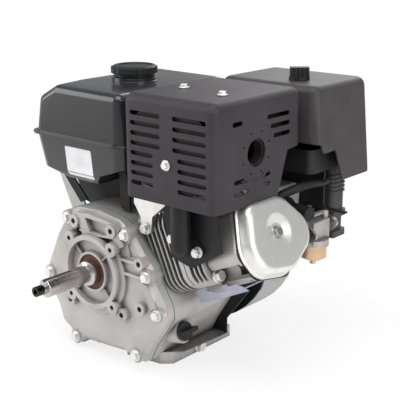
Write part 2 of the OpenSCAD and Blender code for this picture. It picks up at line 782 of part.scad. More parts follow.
module carburetor_body() {
    color([0.72, 0.7, 0.72]) difference() {
        intake_axis() {
            hull() {
                rod_y(34, spacer_len, spacer_len + 5);
                stud_places() rod_y(13, spacer_len, spacer_len + 5);
            }
            rod_y(36, spacer_len + 4, carb_end - 4);
            translate([0, bowl_place[1], -3]) cube([42, 40, 32], center = true);
            hull() {
                rod_y(38, carb_end - 5, carb_end);
                for (side = [-1, 1]) translate([side * 22, 0, side * 4]) rod_y(12, carb_end - 5, carb_end);
            }
            translate([bowl_place[0], bowl_place[1], -22]) cylinder(r = 22, h = 8);
            translate([10, 0, 20]) rod_y(7, spacer_len + 5, carb_end - 4);
            for (p = butterfly_places) translate([p[0], p[1], 10]) cylinder(d = 11, h = 14);
        }
        intake_axis() {
            rod_y(24, spacer_len - 1, carb_end + 1);
            stud_places() rod_y(6.4, spacer_len - 1, spacer_len + 6);
            for (p = butterfly_places) translate([p[0], p[1], 8]) cylinder(d = 5 + 2 * fit, h = 40);
            translate([bowl_place[0], bowl_place[1], -24]) cylinder(d = 6.2, h = 10);
        }
    }
}

module float_bowl() {
    color([0.85, 0.68, 0.5]) intake_axis() translate([bowl_place[0], bowl_place[1], -22 - seat]) difference() {
        union() {
            translate([0, 0, -3]) cylinder(r = 22, h = 3);
            translate([0, 0, -20]) cylinder(r = 19, h = 18);
            translate([0, 0, -24]) cylinder(r1 = 12, r2 = 19, h = 4);
        }
        translate([0, 0, -20]) cylinder(r = 17, h = 30);
        translate([0, 0, -40]) cylinder(d = 6.2, h = 40);
    }
}

module bowl_screw() {
    color("goldenrod") intake_axis() translate([bowl_place[0], bowl_place[1], -22 - seat]) {
        translate([0, 0, -25.5]) cylinder(d = 13, h = 1.4);
        translate([0, 0, -31]) cylinder(d = 10, h = 5.7, $fn = 6);
        translate([0, 0, -26]) cylinder(d = 6, h = 33);
    }
}

// The duct drops from the air cleaner and turns into the carburettor.

module duct_shape(shrink) {
    translate([0, (duct_y[0] + duct_y[1]) / 2]) round_rect(duct_w - shrink, duct_y[1] - duct_y[0] - shrink, 7);
}

module intake_elbow() {
    top = tray_floor - intake_place[1] - seat;
    color([0.3, 0.29, 0.29]) intake_axis() difference() {
        union() {
            translate([0, 0, 6]) linear_extrude(top - 6) duct_shape(0);
            translate([0, 0, -22]) linear_extrude(29) duct_shape(2);
            for (z = [8, -22]) translate([0, 0, z]) linear_extrude(9) duct_shape(-6);
            for (z = [44 : 6 : 68]) translate([0, 0, z]) linear_extrude(3) duct_shape(-3);
            translate([hose_end[0] - intake_place[0], duct_y[0], hose_end[2] - intake_place[1]]) rod_y(9, -12, 1);
        }
        translate([0, 0, -18]) linear_extrude(120) duct_shape(6);
        rod_y(26, carb_end - 4, carb_end + 12);
        translate([0, carb_end - 20, -40]) translate([-40, 0, 0]) cube([80, 20 + seat, 80]);
        translate([hose_end[0] - intake_place[0], duct_y[0], hose_end[2] - intake_place[1]]) rod_y(5, -14, 6);
    }
}

// ---- air cleaner ----

module air_cleaner_base() {
    tray = [84, 204, tray_floor];
    size = [148, 112, 34];
    color([0.15, 0.15, 0.16]) difference() {
        union() {
            translate([tray[0] + size[0] / 2, tray[1] + size[1] / 2, tray[2]])
                linear_extrude(size[2]) round_rect(size[0], size[1], 10);
            translate([knob_place[0], knob_place[1], tray[2]]) cylinder(d = 14, h = 60);
        }
        difference() {
            translate([tray[0] + size[0] / 2, tray[1] + size[1] / 2, tray[2] + 3])
                linear_extrude(size[2]) round_rect(size[0] - 6, size[1] - 6, 8);
            translate([knob_place[0], knob_place[1], tray[2]]) cylinder(d = 14, h = 60);
        }
        translate([intake_place[0], intake_face, tray[2] - 1]) linear_extrude(6) duct_shape(6);
        translate([knob_place[0], knob_place[1], tray[2] + 6]) cylinder(d = 6, h = 60);
    }
}

module air_filter() {
    z0 = tray_floor + 3 + seat;
    middle = [140, 258];
    color([0.85, 0.8, 0.6]) difference() {
        translate([middle[0], middle[1], z0]) linear_extrude(90) round_rect(100, 84, 30);
        translate([middle[0], middle[1], z0 - 1]) linear_extrude(76) round_rect(60, 44, 16);
        translate([knob_place[0], knob_place[1], z0 - 1]) cylinder(d = 18, h = 100);
    }
}

module air_cleaner_cover() {
    color([0.38, 0.37, 0.37]) difference() {
        cleaner_shell(0);
        translate([0, 0, -0.01]) cleaner_shell(cleaner_wall);
        rotate([90, 0, 90]) linear_extrude(400)
            polygon([[180, 100], [180, 185], [203, 185], [208, 172], [238, 172], [262, 100]]);
        translate([knob_place[0], knob_place[1], cleaner_to[2] - 8]) cylinder(d = 9, h = 20);
    }
}

// The cover as a solid, shrunk by a wall; it spreads a little at the foot.
module cleaner_shell(wall) {
    hull() {
        soft_block(cleaner_from + [wall, wall, 60], cleaner_to - [wall, wall, wall], 13 - wall / 2);
        translate(cleaner_from + [wall, 6 + wall, 0])
            cube([cleaner_w + 9 - 2 * wall, cleaner_d - 12 - 2 * wall, 4]);
    }
}

module air_cleaner_knob() {
    color([0.1, 0.1, 0.1]) translate([knob_place[0], knob_place[1], cleaner_to[2] + 0.3]) {
        cylinder(d = 29, h = 4);
        rotate(41) difference() {
            translate([0, 0, 9]) cube([26, 15, 16], center = true);
            for (x = [-9 : 6 : 9])
                for (y = [-7.5, 7.5]) translate([x, y, 4]) cylinder(d = 2.6, h = 14);
        }
        translate([0, 0, -104]) cylinder(d = 6 - 2 * fit, h = 105);
    }
}

// ---- fuel tank ----

module tank_flange(z0, thick) {
    translate([tank_middle[0], tank_middle[1], z0])
        linear_extrude(thick) round_rect(tank_w + 14, tank_d + 12, 26);
}

// Upper half of the tank as a solid, shrunk by a wall: upright sides, a low shoulder on
// the left and a nearly flat top.
module tank_dome(wall) {
    r = 12 - wall;
    hull() {
        translate([tank_middle[0], tank_middle[1], tank_seam_z - (wall > 0 ? 1 : 0)])
            linear_extrude(2) round_rect(tank_w - 2 * wall, tank_d - 2 * wall, 20);
        for (y = [tank_from[1] + 15, tank_to[1] - 15]) {
            translate([tank_from[0] + 22, y, tank_top - 28]) sphere(r, $fn = 24);
            translate([tank_from[0] + 50, y, tank_top - 13]) sphere(r, $fn = 24);
            translate([tank_to[0] - 20, y, tank_top - 14]) sphere(r, $fn = 24);
        }
        translate([tank_middle[0], tank_middle[1], tank_top - 6])
            linear_extrude(6 - wall) round_rect(tank_w - 90, tank_d - 70, 30);
    }
}

module tank_upper() {
    color([0.16, 0.15, 0.16]) difference() {
        union() {
            tank_dome(0);
            tank_flange(tank_seam_z, 1.6);
            translate([filler[0], filler[1], tank_top - 12]) cylinder(d = filler_d + 20, h = 17);
            translate([filler[0], filler[1], tank_top - 12]) cylinder(d = filler_d, h = 23);
        }
        tank_dome(tank_wall);
        translate([filler[0], filler[1], tank_top - 40]) cylinder(d = filler_d - 5, h = 80);
    }
}

module tank_belly(wall) {
    difference() {
        hull() {
            translate([tank_middle[0], tank_middle[1], tank_seam_z - 2 + (wall > 0 ? 1 : 0)])
                linear_extrude(2) round_rect(tank_w - 2 * wall, tank_d - 2 * wall, 20);
            translate([tank_middle[0] + 2, tank_middle[1], tank_bottom + 11 + wall / 2])
                linear_extrude(2) round_rect(tank_w - 14 - 2 * wall, tank_d - 10 - 2 * wall, 20);
            translate([tank_middle[0] + 16, tank_middle[1], tank_bottom + wall])
                linear_extrude(2) round_rect(tank_w - 62 - 2 * wall, tank_d - 24 - 2 * wall, 20);
        }
        slab_y(0, 104 + wall) polygon([
            [-8 - wall, 100], [-6 - wall, 126], [4, 136 + wall], [44, 150 + wall], [90, 156 + wall], [90, 100]]);
    }
}

module tank_lower() {
    color([0.16, 0.15, 0.16]) difference() {
        union() {
            tank_belly(0);
            translate([0, 0, -1.6]) tank_flange(tank_seam_z, 1.6);
        }
        tank_belly(tank_wall);
    }
}

module fuel_cap() {
    cap_d = filler_d + 22;
    color([0.08, 0.08, 0.08]) translate([filler[0], filler[1], tank_top + 5.3]) difference() {
        union() {
            cylinder(d = cap_d - 9, h = 6);
            translate([0, 0, 5]) linear_extrude(9) difference() {
                circle(d = cap_d);
                for (a = [0 : 20 : 340]) rotate(a) translate([cap_d / 2 + 1.6, 0]) circle(3);
            }
            translate([0, 0, 13.9]) cylinder(d1 = cap_d - 4, d2 = cap_d - 9, h = 2.1);
        }
        translate([0, 0, 14.4]) cylinder(d = cap_d - 18, h = 3);
        translate([0, 0, -1]) cylinder(d = filler_d + 0.6, h = 8);
    }
}

module tank_mounts() {
    color([0.8, 0.79, 0.76]) {
        slab_y(46, 49) polygon([[-66, 81], [-50, 87], [-84, tank_bottom - seat], [-104, tank_bottom - seat]]);
        translate([-104, 46, tank_bottom - 3 - seat]) cube([20, 24, 3]);
        slab_y(46, 49) polygon([[20, 88.5], [38, 86.5], [36, 120], [30, 144.4], [16, 139.6], [22, 118]]);
        translate([12, 0, 88]) translate([0, 60, 0]) cylinder(d = 11, h = 44);
    }
    color([0.1, 0.1, 0.1]) for (p = [[-86, 224], [6, 224]])
        translate([p[0], p[1], 112 + seat]) cylinder(d = 16, h = tank_bottom - 112 - 2 * seat);
}

// ---- fan, flywheel, starter ----

// Radius of the fan casing; it opens out towards the cylinder.
function volute_r(a) = 128 + 0.8 * max(0, a - 300);

module casing_shape(shrink) {
    polygon(concat(
        [for (a = [122 : 8 : 346]) (volute_r(a) - shrink) * [cos(a), sin(a)]],
        [[180 - shrink, 20], [184 - shrink, 104 - shrink], [176 - shrink, 112 - shrink],
            [-60, 112 - shrink]]));
}

module fan_cover() {
    color([0.66, 0.65, 0.66]) difference() {
        slab_y(fan_front, fan_back) casing_shape(0);
        slab_y(fan_front - 1, fan_back - 2.5) casing_shape(2.5);
        rod_y(186, fan_back - 4, fan_back + 1);
        recoil_bolt_places() rod_y(6, fan_back - 4, fan_back + 1);
    }
}

module recoil_bolt_places() {
    for (a = [20 : 60 : 320]) rotate([0, -a, 0]) translate([104, 0, 0]) children();
}

module back_plate() {
    color([0.12, 0.12, 0.12]) difference() {
        slab_y(fan_front - 4, fan_front - 2) intersection() {
            casing_shape(0);
            translate([-150, -140]) square([330, 252]);
        }
        slab_y(fan_front - 5, fan_front) circle(d = flywheel_d + 10);
        slab_y(fan_front - 5, fan_front) translate([60, -20]) square([200, 150]);
    }
    color([0.12, 0.12, 0.12]) slab_y(fan_front - 2.1, fan_front - seat) difference() {
        casing_shape(0);
        casing_shape(2.5);
    }
}

module flywheel() {
    color("gray") difference() {
        union() {
            rod_y(flywheel_d, wheel_y, wheel_y + 7);
            tube_y(flywheel_d, flywheel_d - 34, wheel_y, wheel_y + flywheel_w);
            rod_y(60, wheel_y - 2, wheel_y + flywheel_w);
            rotate([0, 40, 0]) translate([flywheel_d / 2 - 1, wheel_y + flywheel_w / 2, 0])
                cube([3, 24, 30], center = true);
        }
        shaft_taper(0.1);
        rod_y(20, wheel_y + flywheel_w - 5, wheel_y + flywheel_w + 1);
    }
}

module cooling_fan() {
    y0 = wheel_y + flywheel_w;
    color([0.1, 0.1, 0.1]) {
        tube_y(flywheel_d - 4, 96, y0, y0 + 3);
        slab_y(y0 + 2, y0 + 20) for (i = [0 : fan_blades - 1]) rotate(i * 360 / fan_blades)
            translate([62, 0]) rotate(28) square([38, 2.4]);
    }
}

module starter_cup() {
    y0 = wheel_y + flywheel_w;
    color([0.75, 0.75, 0.75]) difference() {
        rod_y(92, y0, y0 + 32);
        rod_y(88, y0 + 2, y0 + 33);
        rod_y(17, y0 - 1, y0 + 3);
        for (a = [0 : 120 : 240])
            rotate([0, a, 0]) translate([42, y0 + 20, 0]) cube([12, 8, 14], center = true);
    }
}

module flywheel_nut() {
    y0 = wheel_y + flywheel_w + 2;
    color("lightgray") difference() {
        union() {
            rod_y(30, y0, y0 + 2);
            translate([0, y0 + 15, 0]) rotate([90, 0, 0]) cylinder(d = 27, h = 14, $fn = 6);
        }
        rod_y(16 + 2 * seat, y0 - 1, y0 + 16);
    }
}

module recoil_housing() {
    y0 = fan_back;
    color([0.66, 0.65, 0.66]) difference() {
        union() {
            rod_y(222, y0, y0 + 3);
            rod_y(192, y0, y0 + recoil_depth - 12);
            translate([0, y0 + recoil_depth - 12, 0]) rotate([-90, 0, 0]) cylinder(d1 = 192, d2 = 164, h = 12);
            translate([-90, y0 + 22, rope_z]) cube([24, 26, 26], center = true);
        }
        rod_y(186, y0 - 1, y0 + recoil_depth - 12);
        translate([0, y0 + recoil_depth - 12.1, 0]) rotate([-90, 0, 0]) cylinder(d1 = 186, d2 = 160, h = 9.6);
        for (r = [62, 74])
            for (a = [0 : 15 : 345])
                rotate([0, a, 0]) translate([r, y0 + recoil_depth - 6, 0]) cube([9, 20, 5], center = true);
        recoil_bolt_places() rod_y(6, y0 - 1, y0 + 5);
        translate([-112, y0 + 22, rope_z]) rod_x(9, 0, 60);
    }
    color([0.66, 0.65, 0.66]) rod_y(20, y0 + 10, y0 + recoil_depth - 2);
}

module recoil_reel() {
    y0 = fan_back + 14;
    color([0.12, 0.12, 0.12]) difference() {
        union() {
            rod_y(2 * reel_r + 14, y0, y0 + 3);
            rod_y(2 * reel_r + 14, y0 + 13, y0 + 16);
            rod_y(2 * reel_r - 10, y0 + 1, y0 + 15);
            rod_y(40, y0, y0 + 26);
        }
        rod_y(20 + 2 * fit, y0 - 1, y0 + 40);
    }
    color("gainsboro") tube_y(2 * reel_r - 0.4, 2 * reel_r - 10, y0 + 3.2, y0 + 12.8);
}

module recoil_grip() {
    y0 = fan_back + 22;
    color([0.1, 0.1, 0.1]) difference() {
        translate([-105, y0, rope_z]) hull() {
            translate([-16, 0, -26]) sphere(9, $fn = 24);
            translate([-16, 0, 26]) sphere(9, $fn = 24);
            translate([-8, 0, 0]) sphere(10, $fn = 24);
        }
        translate([-150, y0, rope_z]) rod_x(rope_d + 1, 0, 60);
    }
}

module recoil_rope() {
    color([0.85, 0.85, 0.82]) translate([0, fan_back + 22, rope_z]) rod_x(rope_d, -124, -2);
}

// ---- small parts ----

// A round tube swept along a list of points.
function unit(v) = v / norm(v);
function tangent(path, i) = unit(path[min(i + 1, len(path) - 1)] - path[max(i - 1, 0)]);
function side_of(t) = unit(abs(t[2]) < 0.9 ? cross(t, [0, 0, 1]) : cross(t, [0, 1, 0]));

// Points on a smooth curve through the knots.
function smooth(k, steps) = concat(
    [for (i = [0 : len(k) - 2])
        for (j = [0 : steps - 1])
            let (t = j / steps, a = k[max(i - 1, 0)], b = k[i], c = k[i + 1], d = k[min(i + 2, len(k) - 1)])
                0.5 * (2 * b + (c - a) * t + (2 * a - 5 * b + 4 * c - d) * t * t
                    + (3 * b - a - 3 * c + d) * t * t * t)],
    [k[len(k) - 1]]);

module swept_tube(path, d, sides = 8) {
    n = len(path);
    points = [for (i = [0 : n - 1])
        let (t = tangent(path, i), u = side_of(t), w = cross(t, u))
            for (j = [0 : sides - 1])
                path[i] + d / 2 * (cos(j * 360 / sides) * u + sin(j * 360 / sides) * w)];
    walls = [for (i = [0 : n - 2])
        for (j = [0 : sides - 1])
            for (f = [[i * sides + j, (i + 1) * sides + j, i * sides + (j + 1) % sides],
                    [i * sides + (j + 1) % sides, (i + 1) * sides + j, (i + 1) * sides + (j + 1) % sides]])
                f];
    polyhedron(points, concat(walls,
        [[for (j = [0 : sides - 1]) j]],
        [[for (j = [sides - 1 : -1 : 0]) (n - 1) * sides + j]]));
}

module breather_hose() {
    color([0.1, 0.1, 0.1]) swept_tube(smooth(breather_route, 5), 12, 10);
}

module spark_plug() {
    color("white") plug_axis() {
        translate([0, 0, -19]) cylinder(d = 13.8, h = 20);
        cylinder(d = 20, h = 2);
        translate([0, 0, 2]) cylinder(d = 22, h = 9, $fn = 6);
        translate([0, 0, 10]) cylinder(d = 12, h = 23);
    }
}

module plug_boot() {
    color([0.08, 0.08, 0.08]) plug_axis() difference() {
        union() {
            translate([0, 0, 14]) cylinder(d1 = 18, d2 = 20, h = 26);
            translate([0, 0, 31]) rotate([0, 100, 0]) cylinder(d1 = 15, d2 = 20, h = 46);
        }
        translate([0, 0, 10]) cylinder(d = 12 + 2 * seat, h = 24);
    }
}

module ignition_coil() {
    color([0.12, 0.12, 0.13]) rotate([0, -130, 0])
        translate([flywheel_d / 2 + 3, fan_front - 4 - seat - 20, -22]) {
            cube([16, 20, 10]);
            translate([0, 0, 34]) cube([16, 20, 10]);
            translate([14, 0, 0]) cube([10, 20, 44]);
        }
}

module drain_plugs() {
    color("lightgray") for (side = [-1, 1])
        translate([foot_centre_x + side * 109.5, foot_centre_y - 19, base_z + 9]) rotate([0, side * 90, 0]) {
            cylinder(d = 19, h = 2);
            translate([0, 0, 2]) cylinder(d = 15, h = 7, $fn = 6);
            translate([0, 0, -14]) cylinder(d = 10 - 2 * seat, h = 15);
        }
}

module oil_filler_cap() {
    color([0.1, 0.1, 0.1]) filler_axis() translate([0, 0, 0.3]) {
        cylinder(d = 27, h = 5);
        translate([0, 0, -16]) cylinder(d = 20 - 2 * fit, h = 17);
        translate([-3, -12, 4]) cube([6, 29, 9]);
    }
}

module control_bracket() {
    color([0.75, 0.75, 0.73]) translate([66, fan_front + 8, 112 + seat]) difference() {
        cube([84, 50, 2.5]);
        translate([34, 26, -1]) cylinder(d = 6, h = 5);
    }
}

module throttle_lever() {
    color([0.1, 0.1, 0.1]) translate([100, fan_front + 34, 115]) {
        cylinder(d = 22, h = 4);
        translate([0, 0, -3]) cylinder(d = 6 - 2 * fit, h = 4);
        translate([-5, 8, 0]) cube([10, 90, 4]);
        translate([0, 100, 0]) cylinder(d = 18, h = 7);
    }
}

module choke_lever() {
    p = butterfly_places[1];
    color([0.1, 0.1, 0.1]) intake_axis() translate([p[0], p[1], 0]) {
        translate([0, 0, 12]) cylinder(d = 5, h = 18);
        translate([0, 0, 24.3]) cylinder(d = 12, h = 3);
        translate([2, -3, 24.3]) cube([34, 6, 3]);
    }
}

module governor_arm() {
    p = butterfly_places[0];
    color("gainsboro") intake_axis() translate([p[0], p[1], 0]) {
        translate([0, 0, 12]) cylinder(d = 5, h = 20);
        translate([0, 0, 24.3]) cylinder(d = 11, h = 2.5);
        translate([-2.5, 2, 24.3]) cube([5, 26, 2.5]);
    }
}

module engine_switch() {
    color("black") translate([switch_place[0], 0, switch_place[1]]) difference() {
        slab_y(fan_back + seat, fan_back + switch_depth) round_rect(34, 26, 4);
        rod_y(8 + 2 * fit, fan_back + 8, fan_back + switch_depth + 1);
    }
}

// The stop switch turns on a short stem in its body.
module switch_knob() {
    color("firebrick") translate([switch_place[0], fan_back + switch_depth, switch_place[1]]) {
        rod_y(8, -12, 1);
        rod_y(20, 0.3, 4);
        slab_y(3, 10) round_rect(6, 20, 2.9);
    }
}

module lower_shield() {
    color([0.72, 0.72, 0.78]) on_cylinder() {
        translate([82, -52, 138]) cube([2, 112, 86]);
        difference() {
            translate([65 + seat, -52, 138]) cube([18, 2, 86]);
            translate([60, -60, 160]) cube([16, 20, 26]);
            translate([60, -60, head_s + 35]) cube([7, 20, 60]);
        }
    }
}

crankcase();
crankcase_cover();
cover_gasket();
flange_bolts();
output_seal();
crank_bearings();
crankshaft();
camshaft();
piston();
piston_pin_and_rings();
cylinder_head();
head_gasket();
head_bolts();
valve_cover();
valve_cover_gasket();
valve_cover_bolt();
exhaust_pipe();
exhaust_nuts();
exhaust_shield();
muffler();
muffler_guard();
guard_screws();
muffler_bracket();
carburetor_body();
float_bowl();
bowl_screw();
insulator();
intake_elbow();
air_cleaner_base();
air_filter();
air_cleaner_cover();
air_cleaner_knob();
tank_upper();
tank_lower();
fuel_cap();
tank_mounts();
fan_cover();
back_plate();
recoil_housing();
recoil_reel();
recoil_grip();
recoil_rope();
flywheel();
cooling_fan();
starter_cup();
flywheel_nut();
breather_hose();
spark_plug();
plug_boot();
ignition_coil();
drain_plugs();
oil_filler_cap();
control_bracket();
throttle_lever();
choke_lever();
engine_switch();
switch_knob();
lower_shield();
governor_arm();
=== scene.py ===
import json
import math

import bmesh
import bpy
from mathutils import Matrix, Vector
from mathutils.bvhtree import BVHTree


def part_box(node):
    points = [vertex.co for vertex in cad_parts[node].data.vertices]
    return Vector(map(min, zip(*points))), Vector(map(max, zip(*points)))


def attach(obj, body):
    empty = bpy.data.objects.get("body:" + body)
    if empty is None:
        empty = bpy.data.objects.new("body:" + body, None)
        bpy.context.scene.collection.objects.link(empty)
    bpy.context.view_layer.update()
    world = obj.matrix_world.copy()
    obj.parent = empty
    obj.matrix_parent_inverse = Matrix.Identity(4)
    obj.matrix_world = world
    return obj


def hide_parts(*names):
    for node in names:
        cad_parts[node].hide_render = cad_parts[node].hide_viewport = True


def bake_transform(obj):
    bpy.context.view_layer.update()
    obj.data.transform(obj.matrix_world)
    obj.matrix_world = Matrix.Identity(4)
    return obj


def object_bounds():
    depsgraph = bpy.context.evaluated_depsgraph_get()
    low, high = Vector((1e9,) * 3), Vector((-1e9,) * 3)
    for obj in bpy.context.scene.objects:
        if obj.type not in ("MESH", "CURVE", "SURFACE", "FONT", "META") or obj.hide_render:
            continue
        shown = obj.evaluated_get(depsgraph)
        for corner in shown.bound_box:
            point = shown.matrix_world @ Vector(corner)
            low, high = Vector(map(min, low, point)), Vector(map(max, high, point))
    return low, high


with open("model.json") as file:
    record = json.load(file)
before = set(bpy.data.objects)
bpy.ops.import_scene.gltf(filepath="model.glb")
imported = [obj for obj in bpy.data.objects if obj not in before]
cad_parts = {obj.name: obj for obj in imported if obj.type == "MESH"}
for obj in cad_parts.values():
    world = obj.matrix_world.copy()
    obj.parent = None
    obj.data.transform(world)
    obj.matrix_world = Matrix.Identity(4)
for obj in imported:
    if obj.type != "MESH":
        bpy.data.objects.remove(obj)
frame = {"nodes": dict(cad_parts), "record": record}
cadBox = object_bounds()  # the CAD model's own box
nodes = frame["nodes"]
mm = 0.001
glint = 0.3  # specular level of paint, plastic and rubber
print("frame loaded:", len(nodes), "nodes")


# a node socket that adds a Math node when it is added or multiplied
class Signal:
    def __init__(self, look, socket):
        self.look = look
        self.socket = socket

    def math(self, operation, first, second):
        return self.look.add("Math", {"operation": operation}, {0: first, 1: second})

    def __add__(self, other):
        return self.math("ADD", self, other)

    def __mul__(self, other):
        return self.math("MULTIPLY", self, other)


# one material and the nodes in it
class Look:
    def __init__(self, name):
        self.material = bpy.data.materials.new(name)
        self.material.use_nodes = True
        self.tree = self.material.node_tree
        self.tree.nodes.clear()
        self.place = self.add("TexCoord", output="Object")

    def add(self, kind, settings=None, inputs=None, output=0):
        node = self.tree.nodes.new("ShaderNode" + kind)
        for key, value in (settings or {}).items():
            setattr(node, key, value)
        for key, value in (inputs or {}).items():
            if isinstance(value, Signal):
                self.tree.links.new(value.socket, node.inputs[key])
            else:
                node.inputs[key].default_value = value
        return Signal(self, node.outputs[output]) if len(node.outputs) else None

    # noise of a given grain size, in metres
    def noise(self, grain, detail=2.0, stretch=(1, 1, 1)):
        where = self.add("Mapping", inputs={"Vector": self.place, "Scale": stretch})
        return self.add("TexNoise", inputs={"Vector": where, "Scale": 1 / grain, "Detail": detail})

    # a value that goes from 0 to 1 as another goes from low to high
    def between(self, value, low, high):
        return self.add("MapRange", {"clamp": True}, {"Value": value, "From Min": low, "From Max": high})

    # one axis of the piece's own place, 0 for x, 1 for y and 2 for z
    def axis(self, index):
        return self.add("SeparateXYZ", inputs={0: self.place}, output=index)

    def mix(self, factor, first, second):
        first, second = [c if isinstance(c, Signal) else (*c, 1) for c in (first, second)]
        return self.add("Mix", {"data_type": "RGBA"}, {0: factor, 6: first, 7: second}, output=2)

    # 1 in the open and 0 deep in a corner
    def openness(self, reach):
        return self.add("AmbientOcclusion", {"samples": 6}, {"Distance": reach}, output="AO")

    def bump(self, height, depth, strength=1.0, normal=None):
        inputs = {"Height": height, "Distance": depth, "Strength": strength}
        if normal is not None:
            inputs["Normal"] = normal
        return self.add("Bump", inputs=inputs)

    def finish(self, colour, roughness, normal=None, **fixed):
        base = colour if isinstance(colour, Signal) else (*colour, 1)
        inputs = {"Base Color": base, "Roughness": roughness}
        if normal is not None:
            inputs["Normal"] = normal
        inputs.update({key.replace("_", " "): value for key, value in fixed.items()})
        shader = self.add("BsdfPrincipled", inputs=inputs)
        self.add("OutputMaterial", inputs={"Surface": shader})
        return self.material


# sand-cast or die-cast aluminium, with painted shade darkening its corners
def castMetal(name, light, dark, grain=1.1 * mm, shadeReach=14 * mm, metal=0.55, rough=(0.42, 0.6)):
    look = Look(name)
    cloud = look.noise(45 * mm, 3)
    colour = look.mix(look.between(cloud, 0.35, 0.65), dark, light)
    # painted shade: the colour darkens towards near black in corners and recesses that ambient occlusion
    # finds
    cornerShade = look.between(look.openness(shadeReach), 0.78, 0.25)
    colour = look.mix(cornerShade * 0.85, colour, [0.2 * c for c in dark])
    sand = look.noise(grain, 3)
    normal = look.bump(look.noise(9 * mm, 2), 0.35 * mm, 0.5)
    normal = look.bump(sand, 0.22 * mm, 0.55, normal)
    roughness = look.between(sand, 0, 1) * (rough[1] - rough[0]) + rough[0]
    return look.finish(colour, roughness, normal, Metallic=metal)


# plated or ground steel with painted shade in its corners; stretch draws its marks out along an axis, and
# what is in front of darkEnd is black
def brightSteel(name, colour, rough=0.24, stretch=(1, 1, 1), grain=2 * mm, metal=1.0, scratch=0.05 * mm,
                darkEnd=None):
    look = Look(name)
    marks = look.noise(grain, 4, stretch)
    smudge = look.between(look.noise(18 * mm, 3), 0.4, 0.7)
    tint = look.mix(smudge * 0.5, colour, [c * f for c, f in zip(colour, (0.80, 0.78, 0.72))])
    # painted shade: the tint darkens towards black in corners and recesses that ambient occlusion finds
    # within 5 mm
    cornerShade = look.between(look.openness(5 * mm), 0.7, 0.2)
    tint = look.mix(cornerShade * 0.7, tint, [0.12 * c for c in colour])
    if darkEnd is not None:
        pastDarkEnd = look.between(look.axis(1), darkEnd, darkEnd - 0.5 * mm)
        tint = look.mix(pastDarkEnd, tint, [0.08 * c for c in colour])
    roughness = marks * 0.18 + smudge * 0.08 + (rough - 0.08)
    return look.finish(tint, roughness, look.bump(marks, scratch, 0.35), Metallic=metal)


# paint over sheet steel
def paint(name, colour, rough, peel=0.25, coat=0.0, grain=1.6 * mm, wear=0.0):
    look = Look(name)
    skin = look.noise(grain, 2)
    cloud = look.noise(60 * mm, 2)
    shade = look.mix(look.between(cloud, 0.3, 0.7), colour, [1.35 * c for c in colour])
    if wear:
        dust = look.between(look.noise(3 * mm, 4), 0.55, 0.8)
        shade = look.mix(dust * wear, shade, (0.16, 0.14, 0.12))
    return look.finish(shade, skin * 0.1 + (rough - 0.05), look.bump(skin, 0.06 * mm, peel),
                       Coat_Weight=coat, Coat_Roughness=0.06, Specular_IOR_Level=glint)


# moulded plastic or rubber with a fine spark-eroded grain
def moulded(name, colour, rough=0.5, grain=0.9 * mm, depth=0.10 * mm):
    look = Look(name)
    leather = look.noise(grain, 3)
    cloud = look.noise(40 * mm, 2)
    shade = look.mix(look.between(cloud, 0.3, 0.7), colour, [1.3 * c for c in colour])
    return look.finish(shade, leather * 0.12 + (rough - 0.06), look.bump(leather, depth, 0.5),
                       Specular_IOR_Level=glint)


# one look for each material slot of the record, and one for the blank label
looks = {
    "cast_aluminium": castMetal("castAluminium", (0.57, 0.545, 0.525), (0.46, 0.44, 0.42)),
    "zinc_steel": brightSteel("zincSteel", (0.86, 0.86, 0.83), 0.30, grain=6 * mm, metal=0.8,
                              scratch=0.02 * mm),
    "shaft_steel": brightSteel("shaftSteel", (0.60, 0.57, 0.56), 0.2, (0.1, 1, 0.1), 9 * mm,
                               scratch=0.0005 * mm, darkEnd=-86.5 * mm),
    "dark_steel": brightSteel("darkSteel", (0.20, 0.19, 0.18), 0.38),
    "gasket_green": moulded("gasketGreen", (0.05, 0.20, 0.13), 0.7),
    "gasket_black": moulded("gasketBlack", (0.012, 0.012, 0.012), 0.6),
    "seal_brown": moulded("sealBrown", (0.09, 0.030, 0.020), 0.45),
    "black_paint": paint("blackPaint", (0.010, 0.010, 0.011), 0.42),
    "gloss_black": paint("glossBlack", (0.016, 0.015, 0.0165), 0.3, 0.03, 0.6, 9 * mm),
    "guard_brown": paint("guardPaint", (0.031, 0.0255, 0.029), 0.55, 0.6, 0.0, 0.9 * mm, 0.08),
    "hot_steel": brightSteel("hotSteel", (0.020, 0.017, 0.017), 0.6, metal=0.3),
    "black_plastic": moulded("blackPlastic", (0.014, 0.014, 0.015), 0.46),
    "grey_plastic": moulded("cleanerPlastic", (0.046, 0.042, 0.042), 0.5),
    "red_plastic": moulded("redPlastic", (0.45, 0.02, 0.015), 0.4),
    "cream_plastic": moulded("creamPlastic", (0.62, 0.56, 0.45), 0.45),
    "carb_metal": castMetal("carbMetal", (0.50, 0.47, 0.45), (0.36, 0.34, 0.32), 0.8 * mm, 8 * mm, 0.7,
                            (0.32, 0.45)),
    "bowl_brass": brightSteel("bowlBrass", (0.72, 0.50, 0.32), 0.34),
    "foam": moulded("filterFoam", (0.10, 0.09, 0.06), 0.9, 2 * mm, 1.0 * mm),
    "cast_iron": castMetal("castIron", (0.30, 0.29, 0.28), (0.20, 0.19, 0.185)),
    "shell_grey": paint("shellGrey", (0.36, 0.36, 0.355), 0.42, 0.3, 0.1),
    "black_rubber": moulded("blackRubber", (0.010, 0.010, 0.010), 0.55),
    "ceramic_white": moulded("ceramicWhite", (0.78, 0.76, 0.72), 0.12, 3 * mm, 0.02 * mm),
    "rope": moulded("ropeFibre", (0.66, 0.64, 0.58), 0.9, 1.2 * mm, 0.4 * mm),
    "shield_lavender": brightSteel("shieldSteel", (0.42, 0.42, 0.50), 0.42, metal=0.6),
    "label_white": moulded("labelFilm", (0.70, 0.69, 0.70), 0.35, 4 * mm, 0.02 * mm),
}


bodyOf = {node: body for body, members in frame["record"]["behaviour"]["bodies"].items() for node in members}
slotOf = {part["node"]: part["material_slot"] for part in frame["record"]["subparts"]}
for name, node in nodes.items():
    node.data.materials.clear()
    node.data.materials.append(looks[slotOf[name]])
print("materials:", len(looks))


